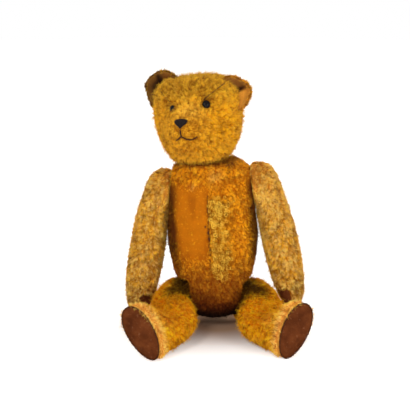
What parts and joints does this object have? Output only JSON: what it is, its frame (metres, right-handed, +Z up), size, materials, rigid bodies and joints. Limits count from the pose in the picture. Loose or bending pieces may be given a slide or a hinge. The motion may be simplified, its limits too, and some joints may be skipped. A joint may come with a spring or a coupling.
{
  "type": "seated jointed mohair teddy bear",
  "caption": "Worn golden mohair teddy bear that sits, stuffed firm, with a turning head and disc-jointed arms and legs, boot-button eyes, stitched nose and felt pads.",
  "frame": {"origin": "on the floor, under the middle of the seated bear's box", "axes": "+Z up; the bear faces -Y, so its own left side is +X"},
  "size_m": [0.2038, 0.1762, 0.2764],
  "materials": {
    "mohair": "golden mohair pile, worn to its woven ground in places",
    "felt": "matted chocolate-brown felt",
    "ear_lining": "worn brown cloth with little pile left",
    "wood_wool": "packed fine wood shavings",
    "card": "pressed card",
    "steel": "dull, slightly rusted",
    "boot_button": "glossy black boot button of pressed wood pulp",
    "black_thread": "waxed black cotton thread"
  },
  "bodies": {
    "torso": {"hip_left_body_disc": "card", "hip_left_body_washer": "steel", "hip_right_body_disc": "card", "hip_right_body_washer": "steel", "neck_body_disc": "card", "neck_body_washer": "steel", "shoulder_left_body_disc": "card", "shoulder_left_body_washer": "steel", "shoulder_right_body_disc": "card", "shoulder_right_body_washer": "steel", "torso_cover": "mohair", "torso_stuffing": "wood_wool"},
    "head": {"ear_left_back": "mohair", "ear_left_lining": "ear_lining", "ear_right_back": "mohair", "ear_right_lining": "ear_lining", "eye_left": "boot_button", "eye_right": "boot_button", "head_cover": "mohair", "head_stuffing": "wood_wool", "mouth_stitching": "black_thread", "neck_head_disc": "card", "neck_head_washer": "steel", "neck_split_pin": "steel", "nose_stitching": "black_thread"},
    "arm_left": {"arm_left_cover": "mohair", "arm_left_stuffing": "wood_wool", "paw_pad_left": "felt", "shoulder_left_arm_disc": "card", "shoulder_left_arm_washer": "steel", "shoulder_left_split_pin": "steel"},
    "arm_right": {"arm_right_cover": "mohair", "arm_right_stuffing": "wood_wool", "paw_pad_right": "felt", "shoulder_right_arm_disc": "card", "shoulder_right_arm_washer": "steel", "shoulder_right_split_pin": "steel"},
    "leg_left": {"foot_left_cover": "mohair", "hip_left_leg_disc": "card", "hip_left_leg_washer": "steel", "hip_left_split_pin": "steel", "leg_left_cover": "mohair", "leg_left_stuffing": "wood_wool", "sole_pad_left": "felt"},
    "leg_right": {"foot_right_cover": "mohair", "hip_right_leg_disc": "card", "hip_right_leg_washer": "steel", "hip_right_split_pin": "steel", "leg_right_cover": "mohair", "leg_right_stuffing": "wood_wool", "sole_pad_right": "felt"}
  },
  "joints": [
    {"name": "head_turn", "type": "hinge", "parent": "torso", "child": "head", "pos_m": [-0.01717, 0.0454, 0.18177], "axis": [-0.0976, 0, 0.9952], "continuous": true},
    {"name": "arm_left_swing", "type": "hinge", "parent": "torso", "child": "arm_left", "pos_m": [0.0365, 0.0454, 0.1555], "axis": [0.991, 0, 0.134], "range_deg": [-110, 110]},
    {"name": "arm_right_swing", "type": "hinge", "parent": "torso", "child": "arm_right", "pos_m": [-0.0516, 0.0454, 0.1468], "axis": [0.9973, 0, -0.0732], "range_deg": [-110, 110]},
    {"name": "leg_left_swing", "type": "hinge", "parent": "torso", "child": "leg_left", "pos_m": [0.0194, 0.0394, 0.0255], "axis": [0.9413, 0.3333, -0.0523], "range_deg": [-10, 90]},
    {"name": "leg_right_swing", "type": "hinge", "parent": "torso", "child": "leg_right", "pos_m": [-0.0241, 0.0374, 0.027], "axis": [0.9848, -0.1384, 0.1045], "range_deg": [-10, 90]}
  ]
}
